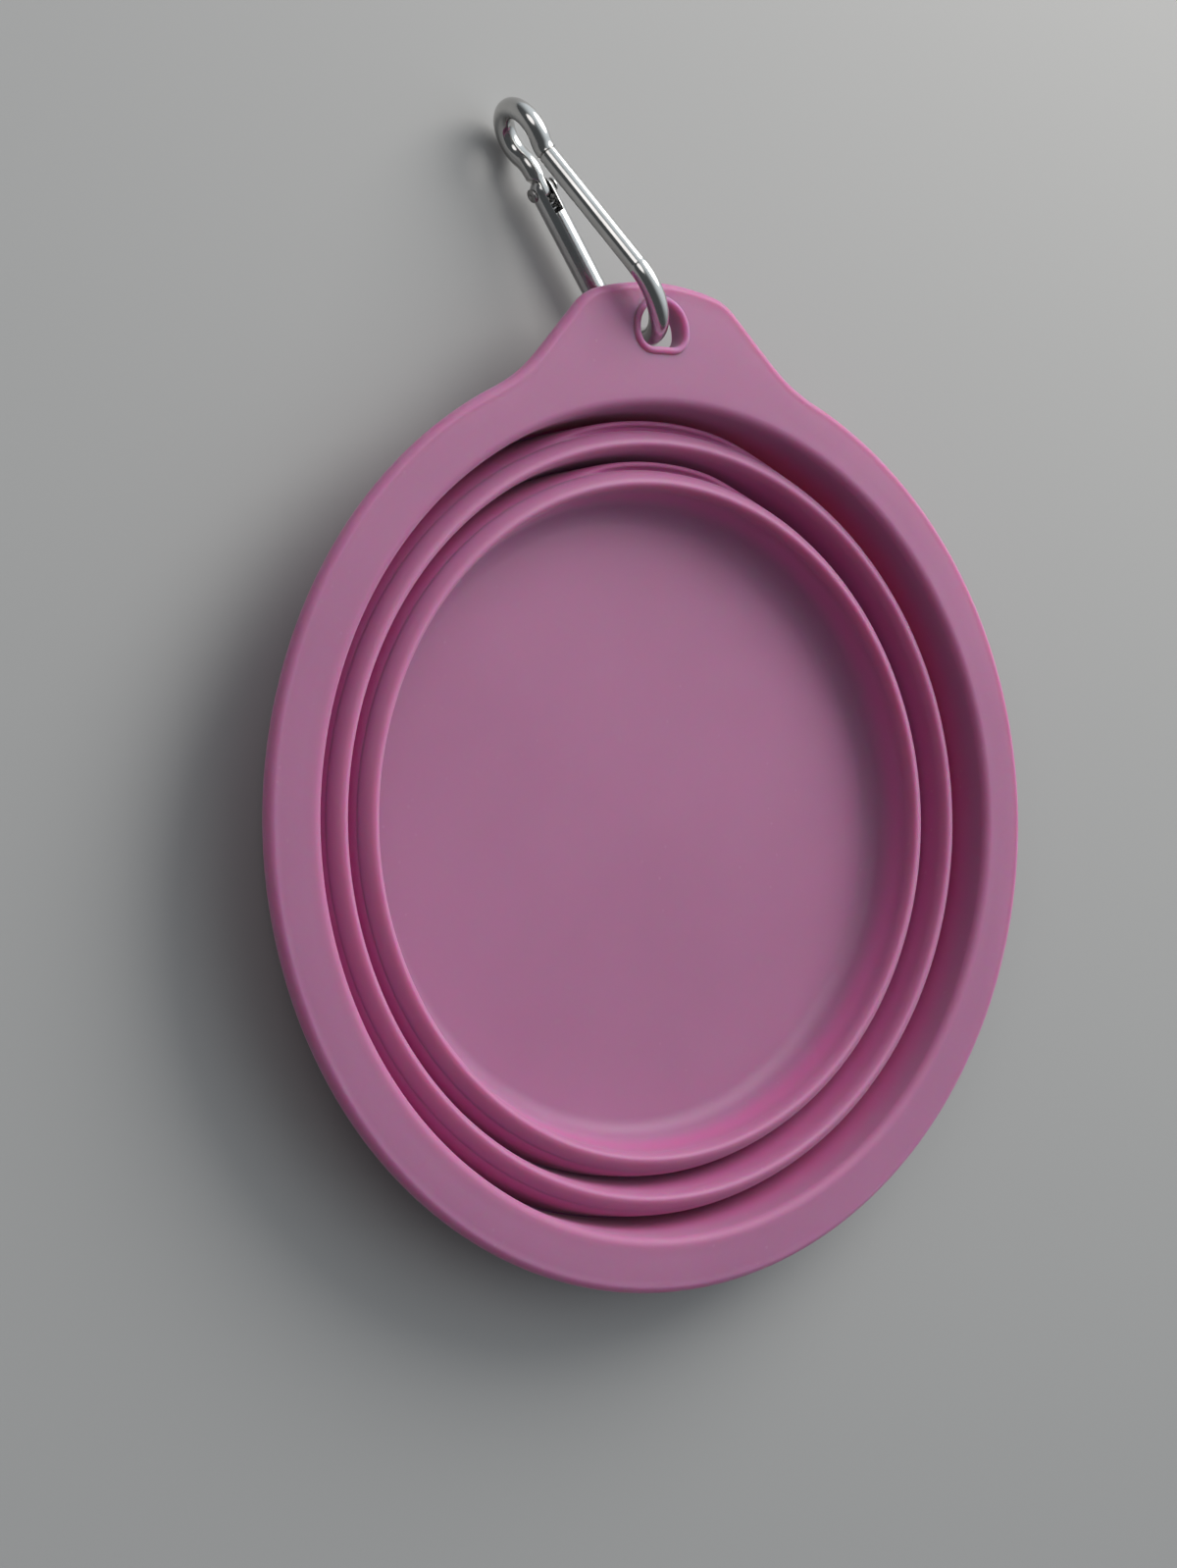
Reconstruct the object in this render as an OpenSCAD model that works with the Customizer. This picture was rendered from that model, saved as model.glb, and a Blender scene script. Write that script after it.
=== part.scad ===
// Collapsible silicone bowl with a carry clip, shown folded flat.
// Millimetres. The origin is the centre of the flat foot, +Z up, +Y towards the hanging tab.

/* [Rim] */
// Outer diameter of the rim
rim_d = 130; // [126:1:138]
// Height of the folded bowl, table to rim top
folded_h = 14.5; // [14:0.1:16]
// Thickness of the flat rim
rim_t = 3; // [2.6:0.1:3.4]
// Rounding of the rim's upper outer edge
rim_edge_r = 1.2; // [0.6:0.1:1.3]
// Width of the flat rim, edge to opening
rim_w = 7.65; // [6.8:0.05:8.4]
// Wall thickness of the two upper tiers
tier_t = 2.2; // [1.8:0.1:2.4]

/* [Folds] */
// Distance from the rim's opening in to the middle tier's crest line
rim_to_crest = 4.2; // [4:0.05:4.5]
// Depth of the middle tier's crest below the rim top
crest_upper_depth = 3.6; // [3.3:0.05:4.1]
// Distance from that crest line in to the base cup's crest line
crest_to_crest = 5.3; // [5.1:0.05:5.6]
// Depth of the base cup's crest below the rim top
crest_lower_depth = 5.05; // [4.7:0.05:5.5]
// Width of each rounded crest
crest_w = 2.9; // [2.5:0.1:3.1]
// Thickness of the two thin folding walls
fold_t = 0.8; // [0.6:0.05:0.9]
// Height of the folded tiers' lower edges above the table
skirt_lift = 0.5; // [0.4:0.1:1]
// Height of the ledge that each fold grows from
ledge_h = 0.6; // [0.4:0.05:0.9]
// How far each fold climbs past the middle of its crest
fold_rise = 0.6; // [0:0.1:0.8]
// Depth of the small step where a thick tier meets its thin fold
fold_step = 0.35; // [0.2:0.05:0.5]

/* [Base cup] */
// How far the cup's wall leans in, from its crest line to the floor's edge
cup_lean = 3.35; // [2.6:0.05:3.9]
// Thickness of the floor
floor_t = 2; // [1.6:0.1:2.6]
// Thickness of the cup's wall at the foot
foot_wall_t = 2.3; // [2:0.1:2.6]
// Rounding inside, between wall and floor
floor_fillet_r = 3; // [1.5:0.25:3.5]
// Rounding outside, round the foot
foot_r = 1.2; // [0.6:0.1:1.6]

/* [Hanging tab] */
// How far the tab's tip stands out past the rim
tab_out = 9.5; // [8.5:0.1:10.5]
// Slope of the tab's straight flanks
tab_flank_angle = 46; // [44:0.5:48]
// Distance from the tab's tip back to the centres of its corner arcs
tab_corner_back = 9.05; // [8.8:0.05:9.4]
// Sideways place of the tab's corner arcs
tab_corner_x = 7.75; // [7:0.05:8.5]
// Radius of the tab's corners
tab_corner_r = 8; // [7:0.1:8.5]
// Radius of the shoulders that lead into the rim
tab_shoulder_r = 25; // [20:0.5:30]
// Width of the hole in the tab
hole_w = 7.5; // [7:0.1:8]
// Distance from the tab's tip back to the middle of the hole's round end
hole_back = 6.7; // [6.5:0.05:7.1]
// Distance from that middle to the hole's flat side
hole_flat_drop = 2.4; // [2.3:0.05:2.7]
// Corner radius at the hole's flat side
hole_corner_r = 2.1; // [1.6:0.1:2.2]
// Width of the raised bead round the hole
bead_w = 0.95; // [0.7:0.05:1.1]
// Height of that bead
bead_h = 0.5; // [0.3:0.05:0.6]

/* [Clip] */
// Diameter of the clip's wire
wire_d = 2.8; // [2.6:0.05:2.9]
// Radius of the clip's wide round end, on the wire's centre line
wide_end_r = 7.15; // [6.9:0.05:7.4]
// Radius of the clip's narrow hooked end, on the wire's centre line
hook_r = 4.05; // [3.9:0.05:4.2]
// Radius of the reverse bend between hooked end and straight side
bend_r = 3; // [2.6:0.1:3.4]
// Distance between the centres of the two round ends
clip_span = 25; // [24.4:0.1:26]
// Angle of each straight side to the clip's long axis
side_angle = 11.4; // [10.8:0.1:12]
// Heading of the clip from +Y towards -X
clip_heading = 29; // [27:0.5:31]
// Drop of the clip's narrow end below level
clip_drop = 11.4; // [10.8:0.1:12]
// Lean of the clip's plane from upright
clip_lean = 8.3; // [6:0.1:10]
// Sideways place of the clip's wide end centre
clip_centre_x = -3.4; // [-3.7:0.05:-3.1]
// Reach of the clip's wide end centre past that middle of the hole
clip_centre_reach = 5.8; // [5.6:0.05:6.1]
// Depth of the clip's wide end centre below the rim top
clip_centre_depth = 3.7; // [3.3:0.05:3.9]

/* [Gate] */
// Outer diameter of the gate tube
gate_d = 3.6; // [3.4:0.05:3.8]
// Length of full wire between the gate's hinged end and the reverse bend
hinge_wire_l = 1; // [0.7:0.1:1.6]
// Thickness of the flattened tongue and nose of the wire
tongue_t = 1.3; // [1.1:0.05:1.4]
// Width of the flattened tongue
tongue_w = 2.5; // [2.3:0.05:2.55]
// Play on each side of the tongue in its slot
slot_play = 0.1; // [0.06:0.01:0.15]
// Length of the open window below the hinge
window_l = 3.5; // [3:0.1:4]
// Diameter of the spring's bore in the gate
spring_bore_d = 2.1; // [1.9:0.05:2.3]
// Diameter of the hinge rivet's shank
rivet_d = 1.2; // [1:0.05:1.3]
// Diameter of the rivet's heads
rivet_head_d = 2; // [1.7:0.05:2.2]
// Height of the rivet's heads
rivet_head_h = 0.4; // [0.3:0.05:0.5]
// Running play of the rivet in the tongue
rivet_play = 0.04; // [0.02:0.01:0.08]
// Diameter of the latch pin
latch_d = 0.9; // [0.8:0.05:1]
// Distance of the latch pin from the frame's full wire
latch_lift = 1.7; // [1.5:0.05:1.9]
// Play round the latch pin in its notch
latch_play = 0.1; // [0.06:0.01:0.14]
// Diameter of the spring's wire
spring_wire_d = 0.3; // [0.25:0.01:0.32]
// Rise of each spring turn
spring_pitch = 0.76; // [0.74:0.01:0.85]

/* [Hidden] */

$fn = 96;
over = 1;                 // overrun of every cut
mould_gap = 0.1;          // gap where the one moulding is divided between tier and fold
arc_steps = 10;           // points along each rounded corner of an outline
silicone = "orchid";
steel = "silver";

rim_r = rim_d / 2;
rim_inner_r = rim_r - rim_w;
under_edge_r = rim_t - rim_edge_r;
rim_under_z = folded_h - rim_t;
crest_r = crest_w / 2;
upper_crest_r = rim_inner_r - rim_to_crest;
lower_crest_r = upper_crest_r - crest_to_crest;
upper_crest_z = folded_h - crest_upper_depth - crest_r;
lower_crest_z = folded_h - crest_lower_depth - crest_r;
tier_end_r = tier_t / 2;
tier_end_z = skirt_lift + tier_end_r;
tier_draw = 0.8;          // each tier's lower edge stands in from its top by this much
rim_wall_end_r = rim_inner_r + tier_end_r - tier_draw;
middle_end_r = upper_crest_r - tier_draw - (crest_r - tier_end_r);
floor_r = lower_crest_r - cup_lean;
foot_outer_r = floor_r + foot_wall_t;
tip_y = rim_r + tab_out;
hole_y = tip_y - hole_back;

function polar(c, r, a) = [c[0] + r * cos(a), c[1] + r * sin(a)];
function arc(c, r, a0, a1, n = arc_steps) = [for (i = [0 : n]) polar(c, r, a0 + (a1 - a0) * i / n)];
function flip(points) = [for (i = [len(points) - 1 : -1 : 0]) [-points[i][0], points[i][1]]];
function unit(v) = v / norm(v);

// Outline of a tier in section: a rounded lower end, a straight wall, and a rounded top or a cut one.
module tier(top, top_r, low, low_r) {
    lean = atan2(top[0] - low[0], top[1] - low[1]);
    spread = asin((top_r - low_r) / norm(top - low));
    polygon(concat(arc(top, top_r, -lean - spread, 180 - lean + spread, 2 * arc_steps),
                   arc(low, low_r, 180 - lean + spread, 360 - lean - spread, 2 * arc_steps)));
}

// A thin wall in section between two tiers, cut short of both by the dividing gap.
module fold(low, top) {
    along = unit(top - low);
    side = [along[1], -along[0]] * fold_t / 2;
    polygon([low - side, low + side, top + side, top - side]);
}

// Where each fold leaves the outer tier's lower edge and meets the inner tier's crest.
function fold_low(end_r) = [end_r - tier_end_r - fold_t / 2 - mould_gap, skirt_lift + ledge_h + mould_gap];
function fold_top(crest, crest_z) = [crest + crest_r + fold_t / 2 + mould_gap, crest_z + fold_rise];

module rim_section() {
    // flat rim with both outer edges rounded
    polygon(concat(arc([rim_r - rim_edge_r, folded_h - rim_edge_r], rim_edge_r, 90, 0),
                   arc([rim_r - under_edge_r, rim_under_z + under_edge_r], under_edge_r, 0, -90),
                   [[rim_inner_r + tier_end_r, rim_under_z]],
                   arc([rim_inner_r + tier_end_r, folded_h - tier_end_r], tier_end_r, 180, 90)));
    tier([rim_inner_r + tier_end_r, folded_h - tier_end_r], tier_end_r,
         [rim_wall_end_r, tier_end_z], tier_end_r);
    // ledge that carries the fold's lower end
    ledge(rim_wall_end_r);
}

// Small foot at a tier's lower edge that the thin fold grows from.
module ledge(end_r) {
    low = fold_low(end_r);
    translate([low[0] - fold_t / 2 - fold_step, skirt_lift])
        square([end_r - low[0] + fold_t / 2 + fold_step, ledge_h]);
}

// Half of the tab's outline, tip to rim, drawn in by inset.
flank_dir = 90 - tab_flank_angle;
corner_c = [tab_corner_x, tip_y - tab_corner_back];
flank_offset = corner_c * [cos(flank_dir), sin(flank_dir)] + tab_corner_r;
tip_r = (pow(tab_corner_x, 2) + pow(tab_corner_back, 2) - pow(tab_corner_r, 2))
        / (2 * (tab_corner_back - tab_corner_r));
function shoulder_c() = let (d = flank_offset + tab_shoulder_r,
                             s = sqrt(pow(rim_r + tab_shoulder_r, 2) - d * d))
                        [d * cos(flank_dir) - s * sin(flank_dir), d * sin(flank_dir) + s * cos(flank_dir)];
function half_tab(inset) = let (tip_c = [0, tip_y - tip_r], sc = shoulder_c(),
                                join = atan2(corner_c[1] - tip_c[1], corner_c[0]))
    concat(arc(tip_c, tip_r - inset, 90, join),
           arc(corner_c, tab_corner_r - inset, join, flank_dir),
           arc(sc, tab_shoulder_r + inset, flank_dir + 180, 180 + atan2(sc[1], sc[0])));

module tab_outline(inset) {
    side = half_tab(inset);
    difference() {
        polygon(concat(flip(side), side));
        circle(r = rim_inner_r + rim_w / 2);
    }
}

// Outline of the hole: a half circle outwards, a flat side with round corners inwards.
module hole_outline(grow) {
    half = hole_w / 2 + grow;
    corner = hole_corner_r + grow;
    corner_y = hole_y - hole_flat_drop + hole_corner_r;
    polygon(concat(arc([0, hole_y], half, 0, 180, 2 * arc_steps),
                   arc([corner - half, corner_y], corner, 180, 270),
                   arc([half - corner, corner_y], corner, 270, 360)));
}

// One layer of the tab; the outer layers are drawn in so that its edges look round.
module tab_layer(z0, z1, inset) {
    translate([0, 0, z0]) linear_extrude(z1 - z0) tab_outline(inset);
}

layer_shares = [0, 0.12, 0.4];   // heights of the edge layers, as shares of the edge's radius
inset_shares = [0.6, 0.2, 0];    // how far each layer is drawn in, as shares of the same radius

module tab() {
    last = len(layer_shares) - 1;
    for (i = [0 : last - 1]) {
        z_step = [layer_shares[i], layer_shares[i + 1]] * rim_edge_r;
        tab_layer(folded_h - z_step[1], folded_h - z_step[0], inset_shares[i] * rim_edge_r);
        tab_layer(rim_under_z + z_step[0], rim_under_z + z_step[1], inset_shares[i] * rim_edge_r);
    }
    tab_layer(rim_under_z + layer_shares[last] * rim_edge_r,
              folded_h - layer_shares[last] * rim_edge_r, inset_shares[last]);
}

module bead() {
    step = bead_h / 2;
    translate([0, 0, folded_h - over]) linear_extrude(over + step) hole_outline(bead_w);
    translate([0, 0, folded_h]) linear_extrude(bead_h) hole_outline(bead_w - step);
}

module rim_ring() {
    color(silicone) difference() {
        union() {
            rotate_extrude() rim_section();
            tab();
            bead();
        }
        translate([0, 0, rim_under_z - over]) linear_extrude(rim_t + bead_h + 2 * over) hole_outline(0);
    }
}

module upper_fold() {
    color("mediumvioletred") rotate_extrude()
        fold(fold_low(rim_wall_end_r), fold_top(upper_crest_r, upper_crest_z));
}

module middle_ring() {
    color("plum") rotate_extrude() {
        tier([upper_crest_r, upper_crest_z], crest_r, [middle_end_r, tier_end_z], tier_end_r);
        ledge(middle_end_r);
    }
}

module lower_fold() {
    color("mediumvioletred") rotate_extrude()
        fold(fold_low(middle_end_r), fold_top(lower_crest_r, lower_crest_z));
}

// The cup: crest, leaning wall, rounded corner and floor in one section.
module base_cup() {
    lean = atan2(lower_crest_r - crest_r - floor_r, lower_crest_z - floor_t);
    reach = floor_fillet_r * tan(45 - lean / 2);
    fillet_c = [floor_r - reach, floor_t + floor_fillet_r];
    foot_c = [foot_outer_r - foot_r, foot_r];
    color("violet") rotate_extrude()
        polygon(concat([[0, 0]],
                       arc(foot_c, foot_r, -90, 0),
                       arc([lower_crest_r, lower_crest_z], crest_r, 0, 180, 2 * arc_steps),
                       arc(fillet_c, floor_fillet_r, -lean, -90),
                       [[0, floor_t]]));
}

// The clip is drawn flat: X along its axis to the hook, Y towards the gate, Z square to it.
wire_r = wire_d / 2;
gate_r = gate_d / 2;
bend_swell = 0.03;        // the wire's radius grows this much at each bend towards the hook
joint_lap = 0.06;         // how far the thinner wire runs into the thicker one
bend_lap = atan2(joint_lap, bend_r);
bent_wire_r = wire_r + bend_swell;
hook_wire_r = bent_wire_r + bend_swell;
hinge_clear = 0.15;       // gap between the gate's rounded end and the full wire
nose_clear = 0.25;        // gap between the gate's free end and the full wire
side_end = [wide_end_r * sin(side_angle), wide_end_r * cos(side_angle)];
side_dir = [cos(side_angle), -sin(side_angle)];
hook_c = [clip_span, 0];
to_hook = hook_c - side_end;
hook_along = to_hook * side_dir;
hook_off = side_end[1] * side_dir[0] - (side_end[0] - clip_span) * side_dir[1];
bend_along = sqrt(pow(hook_r + bend_r, 2) - pow(hook_off + bend_r, 2));
side_l = hook_along - bend_along;
bend_sweep = atan2(bend_along, hook_off + bend_r);
hook_sweep = 90 - side_angle + bend_sweep;
slot_t = tongue_t + 2 * slot_play;
neck_start = gate_r + hinge_clear;
gate_l = side_l - neck_start - hinge_wire_l;     // from the wide end to the gate's hinge
nose_l = latch_lift + latch_d;

module place_clip() {
    translate([clip_centre_x, hole_y + clip_centre_reach, folded_h - clip_centre_depth])
        rotate([-90 - clip_lean, clip_drop, 90 + clip_heading]) children();
}

// Puts X along the gate side and Y outwards, with zero where the side leaves the wide end.
module on_side() {
    translate([side_end[0], side_end[1], 0]) rotate([0, 0, -side_angle]) children();
}

module bar(from, to, r) {
    translate([from, 0, 0]) rotate([0, 90, 0]) cylinder(h = to - from, r = r);
}

module wire_arc(radius, start, sweep, r) {
    rotate([0, 0, start]) rotate_extrude(angle = sweep) translate([radius, 0]) circle(r = r);
}

// Straight wire from the given place up to the hooked end, with the reverse bend.
module side_wire(from) {
    bar(from, side_l + joint_lap, wire_r);
    translate([side_l, bend_r, 0]) wire_arc(bend_r, -90, bend_sweep + bend_lap, bent_wire_r);
}

module clip_frame() {
    color(steel) place_clip() difference() {
        union() {
            wire_arc(wide_end_r, 90 - side_angle, 180 + 2 * side_angle, bent_wire_r);
            translate([clip_span, 0, 0]) wire_arc(hook_r, -hook_sweep, 2 * hook_sweep, hook_wire_r);
            mirror([0, 1, 0]) on_side() side_wire(-joint_lap);
            on_side() side_wire(gate_l + neck_start);
            // flattened tongue round the rivet
            on_side() translate([gate_l, 0, -tongue_t / 2]) {
                cylinder(h = tongue_t, r = tongue_w / 2);
                translate([0, -tongue_w / 2, 0]) cube([neck_start + wire_r, tongue_w, tongue_t]);
            }
            // flattened nose that the latch pin drops into
            on_side() translate([-wire_r, -tongue_w / 2, -tongue_t / 2])
                cube([wire_r + nose_l, tongue_w, tongue_t]);
        }
        on_side() translate([gate_l, 0, -wire_d])
            cylinder(h = 2 * wire_d, r = rivet_d / 2 + rivet_play);
        on_side() translate([latch_lift, 0, -wire_d]) {
            cylinder(h = 2 * wire_d, r = latch_d / 2 + latch_play);
            translate([-latch_d / 2 - latch_play, -wire_d, 0])
                cube([latch_d + 2 * latch_play, wire_d, 2 * wire_d]);
        }
    }
}

module clip_gate() {
    bore_start = nose_l + hinge_clear + wire_r;
    color(steel) place_clip() on_side() difference() {
        union() {
            bar(nose_clear, gate_l, gate_r);
            translate([gate_l, 0, 0]) sphere(r = gate_r);
        }
        // slot for the nose at the free end, with the tube's wall kept on the inner side
        translate([-over, -tongue_w / 2 - slot_play, -slot_t / 2])
            cube([over + nose_l + hinge_clear, 2 * gate_d, slot_t]);
        // slot for the tongue, with the longer window on the inner side
        translate([gate_l - neck_start, -gate_d, -slot_t / 2])
            cube([2 * gate_d, 2 * gate_d, slot_t]);
        translate([gate_l - window_l, -gate_d, -slot_t / 2])
            cube([window_l + gate_d, gate_d, slot_t]);
        bar(bore_start, gate_l - neck_start + over, spring_bore_d / 2);
        translate([gate_l, 0, -gate_d]) cylinder(h = 2 * gate_d, r = rivet_d / 2);
        translate([latch_lift, 0, -gate_d]) cylinder(h = 2 * gate_d, r = latch_d / 2);
    }
}

module gate_rivet() {
    color("gray") place_clip() on_side() translate([gate_l, 0, 0]) {
        cylinder(h = 2 * gate_r, r = rivet_d / 2, center = true);
        for (sign = [-1, 1]) translate([0, 0, sign * (gate_r + rivet_head_h / 2)])
            cylinder(h = rivet_head_h, r = rivet_head_d / 2, center = true);
    }
}

module latch_pin() {
    half = sqrt(pow(gate_r, 2) - pow(latch_d / 2, 2));
    color("gray") place_clip() on_side() translate([latch_lift, 0, -half])
        cylinder(h = 2 * half, r = latch_d / 2);
}

// Gate spring: one wire wound in a helix that ends against the tongue.
coil_r = (spring_bore_d - spring_wire_d) / 2 - slot_play;
coil_from = nose_l + hinge_clear + wire_r + spring_wire_d;
coil_to = gate_l - tongue_w / 2 - spring_wire_d;
coil_turns = (coil_to - coil_from) / spring_pitch;
ring_count = ceil(coil_turns * 8);
ring_sides = 6;
function coil_at(i) = let (a = 360 * coil_turns * i / ring_count)
    [coil_from + spring_pitch * a / 360, coil_r * cos(a), coil_r * sin(a)];
function coil_dir(i) = unit(coil_at(i + 0.01) - coil_at(i - 0.01));
function coil_out(i) = let (p = coil_at(i)) unit([0, p[1], p[2]]);
coil_points = [for (i = [0 : ring_count]) let (c = coil_at(i), d = coil_dir(i), o = coil_out(i),
                   w = cross(d, o)) for (k = [0 : ring_sides - 1])
                   c + (o * cos(360 * k / ring_sides) + w * sin(360 * k / ring_sides)) * spring_wire_d / 2];
coil_faces = concat([[for (k = [0 : ring_sides - 1]) k]],
                    [for (i = [0 : ring_count - 1], k = [0 : ring_sides - 1])
                        let (a = i * ring_sides + k, b = i * ring_sides + (k + 1) % ring_sides)
                        [a, a + ring_sides, b]],
                    [for (i = [0 : ring_count - 1], k = [0 : ring_sides - 1])
                        let (a = i * ring_sides + k, b = i * ring_sides + (k + 1) % ring_sides)
                        [b, a + ring_sides, b + ring_sides]],
                    [[for (k = [ring_sides - 1 : -1 : 0]) ring_count * ring_sides + k]]);
coil_gap = min([for (i = [0 : ring_count - 8]) norm(coil_at(i) - coil_at(i + 8))]) - spring_wire_d;
echo(spring_turns = coil_turns, spring_least_gap = coil_gap);

module gate_spring() {
    color("dimgray") place_clip() on_side() polyhedron(points = coil_points, faces = coil_faces);
}

rim_ring();
upper_fold();
middle_ring();
lower_fold();
base_cup();
clip_frame();
clip_gate();
gate_rivet();
latch_pin();
gate_spring();
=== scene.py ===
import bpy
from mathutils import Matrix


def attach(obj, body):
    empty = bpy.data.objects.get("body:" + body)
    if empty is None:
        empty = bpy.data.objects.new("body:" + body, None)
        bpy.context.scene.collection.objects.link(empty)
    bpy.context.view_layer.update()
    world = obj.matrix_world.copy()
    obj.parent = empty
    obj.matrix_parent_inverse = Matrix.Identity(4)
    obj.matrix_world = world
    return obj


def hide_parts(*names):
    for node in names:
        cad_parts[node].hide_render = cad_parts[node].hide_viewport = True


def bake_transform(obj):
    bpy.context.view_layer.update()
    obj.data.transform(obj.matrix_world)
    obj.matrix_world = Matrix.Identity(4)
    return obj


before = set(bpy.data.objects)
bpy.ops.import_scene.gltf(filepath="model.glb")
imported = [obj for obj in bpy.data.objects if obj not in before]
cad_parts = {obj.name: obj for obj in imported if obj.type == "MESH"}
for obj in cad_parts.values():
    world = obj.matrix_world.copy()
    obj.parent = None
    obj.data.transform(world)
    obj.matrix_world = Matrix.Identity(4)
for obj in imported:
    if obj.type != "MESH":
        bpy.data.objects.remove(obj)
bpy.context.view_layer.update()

import math

import bmesh
import bpy
from mathutils import Matrix, Vector

mm = 0.001               # every size below is in millimetres
turn = 2 * math.pi


def degrees(angle):
    return math.radians(angle)


def polar(centre, radius, angle):
    return (centre[0] + radius * math.cos(degrees(angle)), centre[1] + radius * math.sin(degrees(angle)))


def arcPoints(centre, radius, start, stop, steps):
    return [polar(centre, radius, start + (stop - start) * i / steps) for i in range(steps + 1)]


def linePoints(start, stop, steps):
    return [tuple(a + (b - a) * i / steps for a, b in zip(start, stop)) for i in range(steps + 1)]


def deselectAll():
    if bpy.context.object and bpy.context.object.mode != "OBJECT":
        bpy.ops.object.mode_set(mode="OBJECT")
    bpy.ops.object.select_all(action="DESELECT")


def makeActive(piece):
    deselectAll()
    bpy.context.view_layer.objects.active = piece
    piece.select_set(True)


def selectWhere(piece, test):
    bpy.ops.mesh.select_all(action="DESELECT")
    work = bmesh.from_edit_mesh(piece.data)
    work.verts.index_update()
    for vertex in work.verts:
        vertex.select = test(vertex)
    work.select_flush(True)
    bmesh.update_edit_mesh(piece.data)


def capSelected():
    bpy.ops.mesh.extrude_region_move()
    bpy.ops.mesh.merge(type="CENTER")


def growRings(name, rings, capped=False):
    # A circle takes the first ring's shape, and every further ring is extruded from the last one. A capped
    # shape is closed at both ends, and any other one joins its last ring to its first.
    count = len(rings[0])
    deselectAll()
    bpy.ops.mesh.primitive_circle_add(vertices=count, radius=0.05)
    piece = bpy.context.object
    piece.name = piece.data.name = name
    for vertex, spot in zip(piece.data.vertices, rings[0]):
        vertex.co = Vector(spot) * mm
    bpy.ops.object.mode_set(mode="EDIT")
    bpy.ops.mesh.select_mode(type="VERT")
    bpy.ops.mesh.select_all(action="SELECT")
    places = {i: i for i in range(count)}           # vertex number to its place along the ring
    for ring in rings[1:] + ([] if capped else rings[:1]):
        bpy.ops.mesh.extrude_region_move()
        work = bmesh.from_edit_mesh(piece.data)
        work.verts.index_update()
        fresh = {}
        for vertex in work.verts:
            if vertex.select:
                beside = (edge.other_vert(vertex).index for edge in vertex.link_edges)
                fresh[vertex.index] = next(places[index] for index in beside if index in places)
                vertex.co = Vector(ring[fresh[vertex.index]]) * mm
        places = fresh
        bmesh.update_edit_mesh(piece.data)
    if capped:
        capSelected()
        selectWhere(piece, lambda vertex: vertex.index < count)
        capSelected()
    bpy.ops.mesh.select_all(action="SELECT")
    bpy.ops.mesh.remove_doubles(threshold=0.0005 * mm)
    bpy.ops.mesh.normals_make_consistent(inside=False)
    bpy.ops.object.mode_set(mode="OBJECT")
    return piece


def turned(profile, count):
    # rings of a turned shape, one for each (radius, height) of its profile
    ways = [(math.cos(turn * i / count), math.sin(turn * i / count)) for i in range(count)]
    return [[(r * c, r * s, z) for c, s in ways] for r, z in profile]


def cutAway(piece, tool):
    makeActive(piece)
    cut = piece.modifiers.new("cut", "BOOLEAN")
    cut.operation, cut.solver, cut.object = "DIFFERENCE", "EXACT", tool
    bpy.ops.object.modifier_apply(modifier=cut.name)
    bpy.data.objects.remove(tool, do_unlink=True)


def softenEdges(piece, width, segments, angle):
    makeActive(piece)
    edge = piece.modifiers.new("soft edges", "BEVEL")
    edge.width, edge.segments, edge.use_clamp_overlap = width * mm, segments, True
    edge.limit_method, edge.angle_limit = "ANGLE", degrees(angle)
    bpy.ops.object.modifier_apply(modifier=edge.name)


def smoothFaces(piece, angle):
    makeActive(piece)
    bpy.ops.object.shade_smooth_by_angle(angle=degrees(angle))


def dress(piece, material, slot, *nodes):
    piece.data.materials.clear()
    piece.data.materials.append(material)
    if nodes:
        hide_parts(*nodes)
    print("made", piece.name, len(piece.data.polygons), "faces")


# Shader groups and materials

def addNode(tree, kind, x, y, **values):
    made = tree.nodes.new(kind)
    made.location = (x, y)
    for name, value in values.items():
        setattr(made, name, value)
    return made


def feed(tree, value, socket):
    # value is another node's output, or else the socket's own value
    if isinstance(value, bpy.types.NodeSocket):
        tree.links.new(value, socket)
    else:
        socket.default_value = value


def addMath(tree, x, y, operation, *values):
    made = addNode(tree, "ShaderNodeMath", x, y, operation=operation)
    for value, socket in zip(values, made.inputs):
        feed(tree, value, socket)
    return made.outputs["Value"]


def ramp(tree, x, y, source, span, to=(0.0, 1.0), kind="LINEAR"):
    made = addNode(tree, "ShaderNodeMapRange", x, y, interpolation_type=kind, clamp=True)
    for value, label in zip((source, *span, *to), ("Value", "From Min", "From Max", "To Min", "To Max")):
        feed(tree, value, made.inputs[label])
    return made.outputs["Result"]


def addTexture(tree, kind, y, where, scale, detail=None, **values):
    made = addNode(tree, kind, -600, y, **values)
    feed(tree, where, made.inputs["Vector"])
    feed(tree, scale, made.inputs["Scale"])
    if detail is not None:
        made.inputs["Detail"].default_value = detail
    return made


def newGroup(name, inputs, outputs):
    # a group that takes a place and the numbers in inputs, and gives the values named in outputs
    group = bpy.data.node_groups.new(name, "ShaderNodeTree")
    group.interface.new_socket("Vector", in_out="INPUT", socket_type="NodeSocketVector")
    for label, value in inputs.items():
        group.interface.new_socket(label, in_out="INPUT", socket_type="NodeSocketFloat").default_value = value
    for label in outputs:
        group.interface.new_socket(label, in_out="OUTPUT", socket_type="NodeSocketFloat")
    start, end = addNode(group, "NodeGroupInput", -900, 0), addNode(group, "NodeGroupOutput", 500, 0)
    return group, start.outputs, end.inputs


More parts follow.
